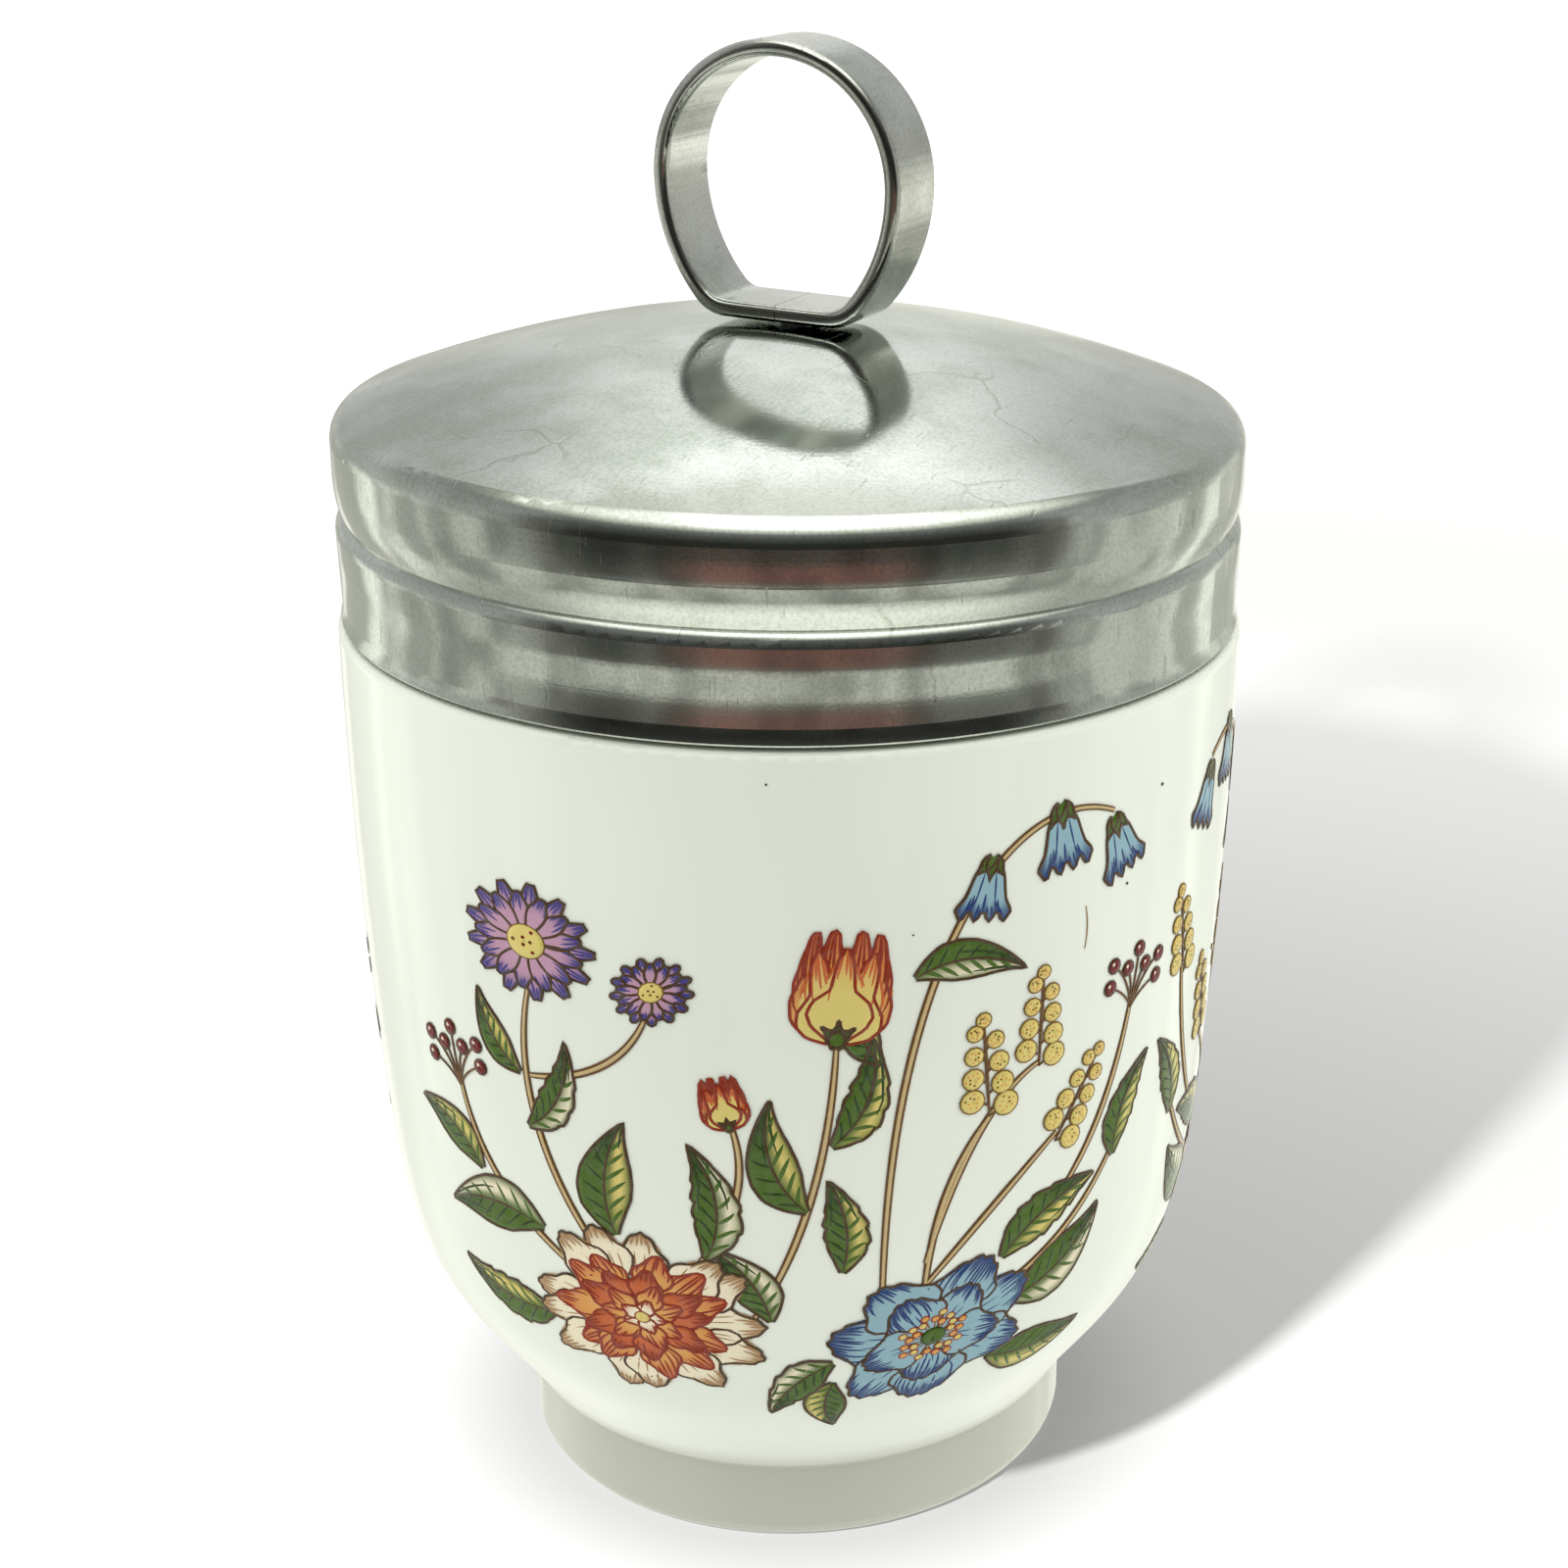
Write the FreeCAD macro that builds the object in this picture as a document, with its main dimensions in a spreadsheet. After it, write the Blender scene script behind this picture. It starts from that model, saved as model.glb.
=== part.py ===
import FreeCAD, Part
import math
import os
import Sketcher

# A porcelain egg coddler: a footed cup with a screw-on stainless lid that has a ring to lift it by.
# Millimetres. +Z is up and the origin is the middle of the foot, on the surface that the cup stands on.
# The lifting ring lies in the XZ plane.

doc = FreeCAD.newDocument("egg_coddler")

# ---------------------------------------------------------------------------------------------
# Driving dimensions
# ---------------------------------------------------------------------------------------------

DIMENSIONS = [
    # cup
    ("foot_radius", 20.8, "outside of the foot ring"),
    ("foot_height", 6.9, "where the body rises off the foot ring"),
    ("foot_edge", 1.1, "rounding of the foot ring's outer bottom edge"),
    ("foot_inner_edge", 0.6, "rounding of its inner bottom edge"),
    ("foot_cove", 0.8, "hollow corner between foot ring and body"),
    ("foot_wall", 3.6, "width of the foot ring"),
    ("recess_depth", 5.2, "depth of the hollow under the foot"),
    ("recess_corner", 1.6, "rounding of that hollow's corner"),
    ("body_radius", 32.2, "outside of the body, just under the lid"),
    ("body_wall", 3.8, "thickness of the body's side"),
    ("side_height", 53.0, "height down to which the side falls nearly straight"),
    ("flank_height", 36.5, "height of the flank, where the side starts to draw in"),
    ("flank_inset", 0.8, "how far the flank lies inside the body radius"),
    ("hip_height", 16.0, "height of the hip, where the side turns under"),
    ("hip_inset", 2.3, "how far the hip lies inside the body radius"),
    ("heel_height", 11.4, "height of the heel, above the foot"),
    ("heel_inset", 8.1, "how far the heel lies inside the body radius"),
    ("floor_height", 9.6, "inside floor of the cup"),
    ("ledge_height", 66.2, "ledge that the lid's edge stops above"),
    ("ledge_edge", 0.6, "rounding of the ledge's outer edge"),
    ("neck_cove", 0.5, "hollow corner between ledge and neck"),
    ("neck_wall", 3.6, "thickness of the screw neck"),
    ("throat_length", 7.0, "how far below the ledge the neck's bore runs straight"),
    ("rim_edge", 1.2, "rounding of the rim, outside and inside"),
    # screw
    ("thread_pitch", 4.0, "rise of the lid in one turn"),
    ("neck_ridge_depth", 1.3, "height of the neck's screw ridge"),
    ("neck_ridge_root", 2.2, "its width at the neck"),
    ("neck_ridge_crest", 1.0, "its width at the crest"),
    ("neck_ridge_turns", 1.5, "turns of the neck's ridge"),
    ("lid_ridge_root", 1.6, "width of the lid's ridge at its band"),
    ("lid_ridge_crest", 0.7, "its width at the crest"),
    ("lid_ridge_turns", 1.0, "turns of the lid's ridge"),
    ("thread_gap", 0.1, "least gap between the ridges' flanks with the lid screwed down"),
    ("crest_gap", 0.3, "gap between a ridge's crest and the wall that it faces"),
    ("ridge_bed", 0.2, "how far a ridge is sunk into the wall that carries it"),
    # lid
    ("lid_inset", 0.25, "how far the lid's bands lie inside the body radius"),
    ("sheet", 0.5, "thickness of the lid's sheet"),
    ("rim_gap", 0.2, "gap between the cup's rim and the lid's crown"),
    ("skirt_gap", 0.3, "gap between the cup's ledge and the lid's edge"),
    ("skirt_height", 12.7, "height of the two bands, up to the shoulder"),
    ("dome_radius", 85.0, "curve of the dome"),
    ("seat_radius", 2.6, "flat at the top of the dome"),
    ("shoulder_radius", 1.9, "curve from the dome into the upper band"),
    ("lower_band", 7.4, "height of the lower band, up to the groove"),
    ("groove_depth", 0.55, "depth of the groove between the bands"),
    ("upper_lip", 2.8, "height over which the upper band draws in to the groove"),
    ("lower_lip", 1.0, "height over which the lower band swells out of the groove"),
    ("flare_height", 1.2, "height of the flared edge"),
    ("flare_inset", 0.15, "how far the lower band is drawn in above the flared edge"),
    ("edge_round", 0.2, "rounding of the lid's bottom edge"),
    # inner band of the lid, which carries its screw ridge
    ("band_wall", 0.55, "thickness of the inner band"),
    ("band_rise", 0.6, "how far the inner band sits above the lid's edge"),
    ("band_margin", 0.1, "plain stretch of the inner band past each end of its ridge"),
    # lifting ring
    ("strip_width", 5.8, "width of the ring's strip"),
    ("strip_thick", 1.2, "thickness of the strip"),
    ("strip_edge", 0.35, "rounding of the strip's edges"),
    ("loop_radius", 9.45, "outside of the ring's upper half"),
    ("loop_side", 13.0, "flatter curve of its sides, below that"),
    ("loop_corner", 3.0, "outside corner between a side and the flat base"),
    ("loop_height", 19.0, "height of the ring over its flat base"),
    ("seam_width", 0.08, "butt seam of the strip, at the middle of the base"),
    ("weld_radius", 1.8, "weld under the ring"),
    ("weld_height", 0.25, "height of the weld"),
]

sizes = doc.addObject("Spreadsheet::Sheet", "Sizes")
for row, (alias, value, meaning) in enumerate(DIMENSIONS, start=1):
    sizes.set(f"A{row}", alias)
    sizes.set(f"B{row}", str(value))
    sizes.set(f"C{row}", meaning)
    sizes.setAlias(f"B{row}", alias)
doc.recompute()

# ---------------------------------------------------------------------------------------------
# Helpers: formulas over the sheet, sketches bound to them, and features
# ---------------------------------------------------------------------------------------------

# Worked-out values by name, each written as an expression on the sheet.
FORMULAS = {}


def formula(text):
    """Writes a formula over sheet names and worked-out names as an expression on the sheet."""
    out = []
    word = ""
    for letter in text + " ":
        if letter.isalnum() or letter == "_":
            word += letter
            continue
        if word in FORMULAS:
            word = f"({FORMULAS[word]})"
        elif any(word == alias for alias, _, _ in DIMENSIONS):
            word = f"Sizes.{word}"
        out.append(word + letter)
        word = ""
    return "".join(out).strip()


def define(name, text):
    """Names a worked-out value, so that later formulas can use it."""
    FORMULAS[name] = formula(text)


def measure(text):
    """The number that a formula comes to."""
    value = sizes.evalExpression(formula(text))
    return float(getattr(value, "Value", value))


def new_sketch(body, name):
    """A sketch in the body's XZ plane: its X is the piece's X, and its Y is the height."""
    upright = next(item for item in body.Origin.OriginFeatures if item.Role == "XZ_Plane")
    sketch = body.newObject("Sketcher::SketchObject", name)
    sketch.AttachmentSupport = [(upright, "")]
    sketch.MapMode = "FlatFace"
    return sketch


def vector(point):
    return FreeCAD.Vector(measure(point[0]), measure(point[1]), 0)


def bind(sketch, geometry, end, axis, text):
    """Holds one coordinate of a point at a formula, or on the sketch's axis where it is 0."""
    if text == "0":
        sketch.addConstraint(Sketcher.Constraint("PointOnObject", geometry, end, -2 if axis == "X" else -1))
        return
    here = sketch.getPoint(geometry, end)
    value = here.x if axis == "X" else here.y
    index = sketch.addConstraint(Sketcher.Constraint(f"Distance{axis}", -1, 1, geometry, end, value))
    sketch.setExpression(f"Constraints[{index}]", formula(text))


def add_line(sketch, start, finish):
    geometry = sketch.addGeometry(Part.LineSegment(vector(start), vector(finish)), False)
    return geometry, 1, 2


def add_arc(sketch, start, finish, radius, side):
    """An arc between two corners; its centre lies left (+1) or right (-1) of the way from start to finish."""
    a, b = vector(start), vector(finish)
    size = measure(radius)
    chord = b - a
    lift = math.sqrt(max(size * size - chord.Length * chord.Length / 4, 0))
    left = FreeCAD.Vector(-chord.y, chord.x, 0).normalize()
    centre = (a + b) * 0.5 + left * (lift * side)
    from_angle = math.atan2(a.y - centre.y, a.x - centre.x)
    to_angle = math.atan2(b.y - centre.y, b.x - centre.x)
    circle = Part.Circle(centre, FreeCAD.Vector(0, 0, 1), size)
    if side > 0:
        geometry, ends = sketch.addGeometry(Part.ArcOfCircle(circle, from_angle, to_angle), False), (1, 2)
    else:
        geometry, ends = sketch.addGeometry(Part.ArcOfCircle(circle, to_angle, from_angle), False), (2, 1)
    index = sketch.addConstraint(Sketcher.Constraint("Radius", geometry, size))
    sketch.setExpression(f"Constraints[{index}]", formula(radius))
    return geometry, ends[0], ends[1]


def add_spline(sketch, start, poles, finish):
    """A cubic B-spline whose inner poles are held at their formulas."""
    points = [vector(p) for p in [start, *poles, finish]]
    curve = Part.BSplineCurve()
    spans = len(points) - 3
    curve.buildFromPolesMultsKnots(
        points, [4] + [1] * (spans - 1) + [4], [float(k) for k in range(spans + 1)], False, 3
    )
    spline = sketch.addGeometry(curve, False)
    for number, point in enumerate(points):
        handle = sketch.addGeometry(Part.Circle(point, FreeCAD.Vector(0, 0, 1), 1.0), True)
        sketch.addConstraint(Sketcher.Constraint("Radius", handle, 1.0))
        sketch.addConstraint(
            Sketcher.Constraint("InternalAlignment:Sketcher::BSplineControlPoint", handle, 3, spline, number)
        )
        if 0 < number < len(points) - 1:
            bind(sketch, handle, 3, "X", poles[number - 1][0])
            bind(sketch, handle, 3, "Y", poles[number - 1][1])
    return spline, 1, 2


def closed_outline(sketch, corners):
    """Draws a closed outline. Each corner is (x, y, edge): its place, and the edge that leaves it.

    An edge is None for a straight line, (radius, side) for an arc, or a list of poles for a spline.
    """
    drawn = []
    for corner, following in zip(corners, corners[1:] + corners[:1]):
        start, finish, edge = corner[:2], following[:2], corner[2]
        if edge is None:
            drawn.append(add_line(sketch, start, finish))
        elif isinstance(edge, tuple):
            drawn.append(add_arc(sketch, start, finish, edge[0], edge[1]))
        else:
            drawn.append(add_spline(sketch, start, edge, finish))
    for number, (geometry, first, _) in enumerate(drawn):
        before, _, last = drawn[number - 1]
        sketch.addConstraint(Sketcher.Constraint("Coincident", before, last, geometry, first))
        bind(sketch, geometry, first, "X", corners[number][0])
        bind(sketch, geometry, first, "Y", corners[number][1])


def revolve(body, name, corners):
    """Turns a closed outline, drawn in the XZ plane, once round the Z axis."""
    sketch = new_sketch(body, name + "_outline")
    closed_outline(sketch, corners)
    turned = body.newObject("PartDesign::Revolution", name)
    turned.Profile = sketch
    turned.ReferenceAxis = (sketch, ["V_Axis"])
    turned.Angle = 360
    return turned


def screw_ridge(body, name, corners, turns):
    """Winds a ridge, drawn in the XZ plane, up round the Z axis as a right-hand screw."""
    sketch = new_sketch(body, name + "_section")
    closed_outline(sketch, corners)
    ridge = body.newObject("PartDesign::AdditiveHelix", name)
    ridge.Profile = sketch
    ridge.ReferenceAxis = (sketch, ["V_Axis"])
    ridge.Mode = "pitch-turns-angle"
    ridge.setExpression("Pitch", formula("thread_pitch"))
    ridge.setExpression("Turns", formula(turns))
    ridge.LeftHanded = False
    return ridge


# ---------------------------------------------------------------------------------------------
# Worked-out places that several pieces share
# ---------------------------------------------------------------------------------------------

define("lid_radius", "body_radius - lid_inset")
define("skin_inside", "lid_radius - flare_inset - sheet")
define("band_inside", "skin_inside - band_wall")
define("neck_crest", "band_inside - crest_gap")
define("neck_radius", "neck_crest - neck_ridge_depth")
define("lid_ridge_tip", "neck_radius + crest_gap")
define("mouth_radius", "neck_radius - neck_wall")

define("lid_edge_height", "ledge_height + skirt_gap")
define("groove_height", "lid_edge_height + lower_band")
define("shoulder_height", "lid_edge_height + skirt_height")
define("shoulder_centre", "lid_radius - shoulder_radius")
define("dome_reach", "dome_radius - shoulder_radius")
define("dome_drop", "sqrt(dome_reach ^ 2 - shoulder_centre ^ 2)")
define("dome_centre", "shoulder_height - dome_drop")
define("dome_inside", "dome_radius - sheet")
define("dome_top", "dome_centre + sqrt(dome_radius ^ 2 - seat_radius ^ 2)")
define("crown_under", "dome_centre + sqrt(dome_inside ^ 2 - seat_radius ^ 2)")
define("rim_outside", "neck_radius - rim_edge")
define("rim_height", "dome_centre + sqrt(dome_inside ^ 2 - rim_outside ^ 2) - rim_gap")

define("band_bottom", "lid_edge_height + band_rise")
define("band_top", "band_bottom + thread_pitch * lid_ridge_turns + lid_ridge_root + 2 * band_margin")
define("lid_ridge_start", "band_bottom + band_margin + lid_ridge_root / 2")
define("neck_ridge_start", "lid_ridge_start + neck_ridge_root / 2 + lid_ridge_crest / 2 + thread_gap")

# ---------------------------------------------------------------------------------------------
# Cup: porcelain, in one piece with its foot ring, screw neck and ridge
# ---------------------------------------------------------------------------------------------

define("recess_radius", "foot_radius - foot_wall")
define("foot_top", "foot_height - foot_cove")
define("inner_side", "body_radius - body_wall")


def make_cup():
    body = doc.addObject("PartDesign::Body", "cup")
    outside = [
        ("body_radius - heel_inset", "heel_height"),
        ("body_radius - hip_inset", "hip_height"),
        ("body_radius - flank_inset", "flank_height"),
        ("body_radius", "side_height"),
    ]
    inside = [
        ("mouth_radius", "ledge_height - 2 * throat_length"),
        ("inner_side", "side_height - throat_length"),
        ("inner_side - flank_inset", "flank_height"),
        ("inner_side - hip_inset", "hip_height"),
        ("inner_side - heel_inset", "floor_height"),
    ]
    revolve(
        body,
        "cup_wall",
        [
            ("0", "recess_depth", None),
            ("recess_radius - recess_corner", "recess_depth", ("recess_corner", -1)),
            ("recess_radius", "recess_depth - recess_corner", None),
            ("recess_radius", "foot_inner_edge", ("foot_inner_edge", 1)),
            ("recess_radius + foot_inner_edge", "0", None),
            ("foot_radius - foot_edge", "0", ("foot_edge", 1)),
            ("foot_radius", "foot_edge", None),
            ("foot_radius", "foot_top", ("foot_cove", -1)),
            ("foot_radius + foot_cove", "foot_height", outside),
            ("body_radius", "ledge_height - ledge_edge", ("ledge_edge", 1)),
            ("body_radius - ledge_edge", "ledge_height", None),
            ("neck_radius + neck_cove", "ledge_height", ("neck_cove", -1)),
            ("neck_radius", "ledge_height + neck_cove", None),
            ("neck_radius", "rim_height - rim_edge", ("rim_edge", 1)),
            ("rim_outside", "rim_height", None),
            ("mouth_radius + rim_edge", "rim_height", ("rim_edge", 1)),
            ("mouth_radius", "rim_height - rim_edge", None),
            ("mouth_radius", "ledge_height - throat_length", inside),
            ("0", "floor_height", None),
        ],
    )
    ridge_bed = "neck_radius - ridge_bed"
    screw_ridge(
        body,
        "neck_ridge",
        [
            (ridge_bed, "neck_ridge_start - neck_ridge_root / 2", None),
            ("neck_crest", "neck_ridge_start - neck_ridge_crest / 2", None),
            ("neck_crest", "neck_ridge_start + neck_ridge_crest / 2", None),
            (ridge_bed, "neck_ridge_start + neck_ridge_root / 2", None),
        ],
        "neck_ridge_turns",
    )
    return body


# ---------------------------------------------------------------------------------------------
# Lid shell: one pressing, with the dome, the two bands and the groove between them
# ---------------------------------------------------------------------------------------------

define("inner_shoulder", "shoulder_radius - sheet")
define("upper_lip_curve", "(upper_lip ^ 2 + groove_depth ^ 2) / (2 * groove_depth)")
define("lower_lip_curve", "(lower_lip ^ 2 + groove_depth ^ 2) / (2 * groove_depth)")
define("flare_rise", "flare_height - edge_round")
define("flare_curve", "(flare_rise ^ 2 + flare_inset ^ 2) / (2 * flare_inset)")


def make_lid_shell():
    body = doc.addObject("PartDesign::Body", "lid_shell")
    revolve(
        body,
        "pressed_sheet",
        [
            ("0", "crown_under", None),
            ("seat_radius", "crown_under", ("dome_inside", -1)),
            (
                "shoulder_centre * dome_inside / dome_reach",
                "dome_centre + dome_drop * dome_inside / dome_reach",
                ("inner_shoulder", -1),
            ),
            ("lid_radius - sheet", "shoulder_height", None),
            ("lid_radius - sheet", "groove_height + upper_lip", ("upper_lip_curve", -1)),
            ("lid_radius - sheet - groove_depth", "groove_height", None),
            ("skin_inside", "groove_height - lower_lip", None),
            ("skin_inside", "lid_edge_height", None),
            ("lid_radius - edge_round", "lid_edge_height", ("edge_round", 1)),
            ("lid_radius", "lid_edge_height + edge_round", ("flare_curve", -1)),
            ("lid_radius - flare_inset", "lid_edge_height + flare_height", None),
            ("lid_radius", "groove_height - lower_lip", ("lower_lip_curve", 1)),
            ("lid_radius - groove_depth", "groove_height", ("upper_lip_curve", 1)),
            ("lid_radius", "groove_height + upper_lip", None),
            ("lid_radius", "shoulder_height", ("shoulder_radius", 1)),
            (
                "shoulder_centre * dome_radius / dome_reach",
                "dome_centre + dome_drop * dome_radius / dome_reach",
                ("dome_radius", 1),
            ),
            ("seat_radius", "dome_top", None),
            ("0", "dome_top", None),
        ],
    )
    return body


# ---------------------------------------------------------------------------------------------
# Thread band: the ring inside the lower band that carries the lid's screw ridge
# ---------------------------------------------------------------------------------------------


def make_thread_band():
    body = doc.addObject("PartDesign::Body", "thread_band")
    revolve(
        body,
        "band",
        [
            ("band_inside", "band_bottom", None),
            ("skin_inside", "band_bottom", None),
            ("skin_inside", "band_top", None),
            ("band_inside", "band_top", None),
        ],
    )
    ridge_bed = "band_inside + ridge_bed"
    screw_ridge(
        body,
        "lid_ridge",
        [
            ("lid_ridge_tip", "lid_ridge_start - lid_ridge_crest / 2", None),
            (ridge_bed, "lid_ridge_start - lid_ridge_root / 2", None),
            (ridge_bed, "lid_ridge_start + lid_ridge_root / 2", None),
            ("lid_ridge_tip", "lid_ridge_start + lid_ridge_crest / 2", None),
        ],
        "lid_ridge_turns",
    )
    return body


# ---------------------------------------------------------------------------------------------
# Lifting ring: a strip bent round to a flat base, where its ends butt together
# ---------------------------------------------------------------------------------------------

define("base_height", "dome_top + weld_height")
define("loop_centre", "base_height + loop_height - loop_radius")
define("side_offset", "loop_side - loop_radius")
define("corner_reach", "loop_side - loop_corner")
define("corner_drop", "loop_centre - base_height - loop_corner")
define("corner_shift", "sqrt(corner_reach ^ 2 - corner_drop ^ 2)")
define("corner_out", "corner_shift - side_offset")


def loop_outline(inset):
    """The ring seen along its hole, drawn inset from its outside by a formula's length."""
    top = f"(loop_radius - {inset})"
    side = f"(loop_side - {inset})"
    corner = f"(loop_corner - {inset})"
    bottom = f"base_height + {inset}"
    turn_out = f"(corner_shift * {side} / corner_reach - side_offset)"
    turn_height = f"loop_centre - corner_drop * {side} / corner_reach"
    return [
        ("0 - corner_out", bottom, None),
        ("corner_out", bottom, (corner, 1)),
        (turn_out, turn_height, (side, 1)),
        (top, "loop_centre", (top, 1)),
        ("0", f"loop_centre + {top}", (top, 1)),
        (f"0 - {top}", "loop_centre", (side, 1)),
        (f"0 - {turn_out}", turn_height, (corner, 1)),
    ]


def pad(body, sketch, name, length):
    feature = body.newObject("PartDesign::Pad", name)
    feature.Profile = sketch
    feature.Midplane = True
    feature.setExpression("Length", formula(length))
    return feature


def pocket(body, sketch, name, length):
    """Cuts both ways from the sketch and checks that it took something away."""
    before = body.Tip.Shape.Volume
    feature = body.newObject("PartDesign::Pocket", name)
    feature.Profile = sketch
    feature.Midplane = True
    feature.setExpression("Length", formula(length))
    doc.recompute()
    if feature.Shape.Volume >= before:
        raise ValueError(f"{name} cuts nothing")
    return feature


def make_lifting_ring():
    body = doc.addObject("PartDesign::Body", "lifting_ring")
    outside = new_sketch(body, "loop_outside")
    closed_outline(outside, loop_outline("0"))
    pad(body, outside, "loop_blank", "strip_width")
    doc.recompute()
    inside = new_sketch(body, "loop_inside")
    closed_outline(inside, loop_outline("strip_thick"))
    hole = pocket(body, inside, "finger_hole", "2 * strip_width")
    numbered = enumerate(hole.Shape.Faces, start=1)
    flat_sides = [f"Face{number}" for number, face in numbered if abs(face.normalAt(0, 0).y) > 0.9]
    edge = body.newObject("PartDesign::Fillet", "strip_edges")
    edge.Base = (hole, flat_sides)
    edge.setExpression("Radius", formula("strip_edge"))
    doc.recompute()
    seam = new_sketch(body, "seam_outline")
    closed_outline(
        seam,
        [
            ("0 - seam_width / 2", "base_height - strip_thick", None),
            ("seam_width / 2", "base_height - strip_thick", None),
            ("seam_width / 2", "base_height + 2 * strip_thick", None),
            ("0 - seam_width / 2", "base_height + 2 * strip_thick", None),
        ],
    )
    pocket(body, seam, "butt_seam", "2 * strip_width")
    return body


# ---------------------------------------------------------------------------------------------
# Weld: joins the ring's base to the flat at the top of the dome
# ---------------------------------------------------------------------------------------------


def make_ring_weld():
    weld = doc.addObject("Part::Cylinder", "ring_weld")
    weld.setExpression("Radius", formula("weld_radius"))
    weld.setExpression("Height", formula("weld_height"))
    weld.setExpression(".Placement.Base.z", formula("dome_top"))
    return weld


# ---------------------------------------------------------------------------------------------
# Build, check and write
# ---------------------------------------------------------------------------------------------

PIECES = {
    "cup": make_cup(),
    "lid_shell": make_lid_shell(),
    "thread_band": make_thread_band(),
    "lifting_ring": make_lifting_ring(),
    "ring_weld": make_ring_weld(),
}
doc.recompute()

for item in doc.Objects:
    if "Invalid" in item.State or "Error" in item.State:
        raise ValueError(f"{item.Name} did not build: {item.State}")

for name, piece in PIECES.items():
    piece.Label = name
    shape = piece.Shape
    if shape.isNull() or not shape.isValid() or len(shape.Solids) != 1:
        raise ValueError(f"{name} is not one valid solid")

os.makedirs("parts", exist_ok=True)
for name, piece in PIECES.items():
    piece.Shape.exportStep(f"parts/{name}.step")
    print(f"{name}: {piece.Shape.Volume / 1000:.2f} cm3, {piece.Shape.BoundBox}")
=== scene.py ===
"""A footed porcelain egg coddler with a screwed steel lid and a lifting ring, dressed piece by piece."""

import math

import bpy
import numpy as np
from mathutils import Matrix, Vector
from mathutils.bvhtree import BVHTree


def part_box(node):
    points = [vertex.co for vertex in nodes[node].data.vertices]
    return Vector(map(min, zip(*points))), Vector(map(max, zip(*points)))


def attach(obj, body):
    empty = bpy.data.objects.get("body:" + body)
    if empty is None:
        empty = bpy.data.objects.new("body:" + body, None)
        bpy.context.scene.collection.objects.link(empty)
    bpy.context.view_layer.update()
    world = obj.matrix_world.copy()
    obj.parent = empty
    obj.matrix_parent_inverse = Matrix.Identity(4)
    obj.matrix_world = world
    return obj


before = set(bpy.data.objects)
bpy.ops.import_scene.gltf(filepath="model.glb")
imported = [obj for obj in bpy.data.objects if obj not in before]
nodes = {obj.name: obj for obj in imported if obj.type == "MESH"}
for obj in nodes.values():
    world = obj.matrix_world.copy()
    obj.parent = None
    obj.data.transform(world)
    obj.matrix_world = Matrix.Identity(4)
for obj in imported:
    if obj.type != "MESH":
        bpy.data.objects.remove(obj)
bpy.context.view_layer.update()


# The cup is cast porcelain, turned true at the foot and dipped in a clear glaze that pools
# into a slightly green white. The foot ring is darker, with thinner glaze there and painted
# shade under the body's overhang, and the edge that the ring stands on is wiped bare, so
# that it doesn't stick in the kiln.

MM = 0.001
PORCELAIN = (0.86, 0.90, 0.81)
POOLED_GLAZE = tuple(part * 0.97 for part in PORCELAIN)
THIN_GLAZE_AND_SHADE = (0.56, 0.57, 0.49)
THIN_AND_SHADED_UP_TO = 6.0 * MM
FULL_FROM = 9.0 * MM
BARE_FOOT = (0.80, 0.79, 0.74)
BARE_UP_TO = 0.5 * MM
GLAZE_ROUGH = 0.1
BARE_ROUGH = 0.6
GLAZE_IOR = 1.52
# Waves, pools and grains are counted to a metre, here and below.
GLAZE_WAVES = 420.0
GLAZE_POOLS = 45.0
WAVE_HEIGHT = 0.2 * MM


def put(tree, kind, inputs=None, **settings):
    """A shader node of that kind, with its settings made and its inputs filled or joined."""
    node = tree.nodes.new("ShaderNode" + kind)
    for name, value in settings.items():
        setattr(node, name, value)
    for name, value in (inputs or {}).items():
        socket = node.inputs[name]
        if isinstance(value, bpy.types.NodeSocket):
            tree.links.new(value, socket)
        else:
            socket.default_value = value
    return node


def sums(tree, operation, first, second=0.0, third=0.0):
    """The result of one sum on numbers or sockets."""
    return put(tree, "Math", {0: first, 1: second, 2: third}, operation=operation).outputs[0]


def fade(tree, value, low, high, start=0.0, end=1.0):
    """A soft step from start to end while the value goes from low to high."""
    fields = {"Value": value, "From Min": low, "From Max": high, "To Min": start, "To Max": end}
    return put(tree, "MapRange", fields, interpolation_type="SMOOTHSTEP").outputs["Result"]


def tint(tree, share, first, second):
    """The second colour laid over the first by a share."""
    node = put(tree, "Mix", data_type="RGBA")
    for key, value in ((0, share), (6, first), (7, second)):
        if isinstance(value, bpy.types.NodeSocket):
            tree.links.new(value, node.inputs[key])
        else:
            node.inputs[key].default_value = value if key == 0 else (*value[:3], 1)
    return node.outputs[2]


def finish_of(name):
    """A new finish, with its tree and its surface shader."""
    material = bpy.data.materials.new(name)
    material.use_nodes = True
    tree = material.node_tree
    return material, tree, tree.nodes["Principled BSDF"]


def wear_it(piece, material):
    """Gives a piece that finish in place of any other."""
    piece.data.materials.clear()
    piece.data.materials.append(material)


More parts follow.
